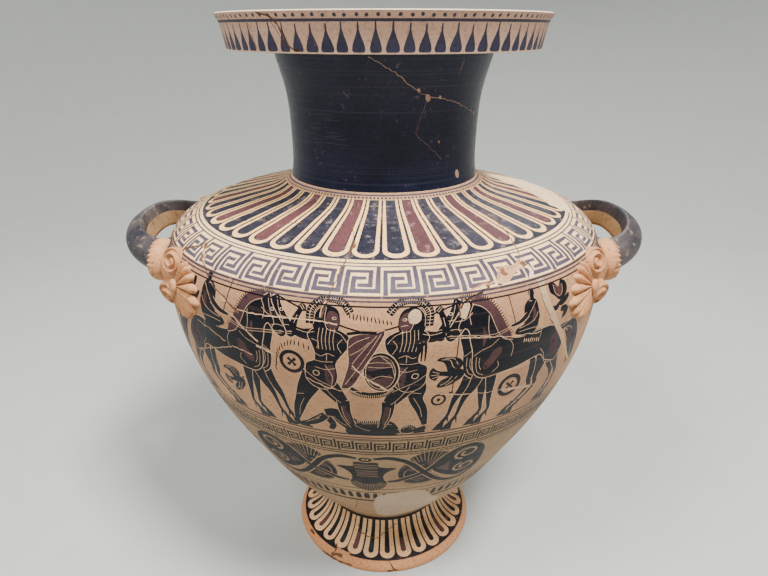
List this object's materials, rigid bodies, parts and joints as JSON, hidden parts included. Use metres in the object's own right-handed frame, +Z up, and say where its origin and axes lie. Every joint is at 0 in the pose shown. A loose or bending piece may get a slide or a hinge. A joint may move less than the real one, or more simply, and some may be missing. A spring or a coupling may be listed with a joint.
{
  "type": "black-figure neck amphora",
  "caption": "Hollow fired-clay vessel with a wide neck, overhanging lip, two level handles with moulded palmettes on the shoulder, and a flared foot.",
  "frame": {"origin": "centre of the resting ring under the foot, on the turning axis", "axes": "+Z up the turning axis to the mouth, +X and -X through the two handles, -Y to the painted main side"},
  "size_m": [0.4006, 0.3386, 0.45],
  "materials": {
    "fired_clay": "fired clay, orange to cream, painted in worn satin black slip with added red"
  },
  "bodies": {
    "root": {"amphora": "fired_clay"}
  },
  "joints": []
}
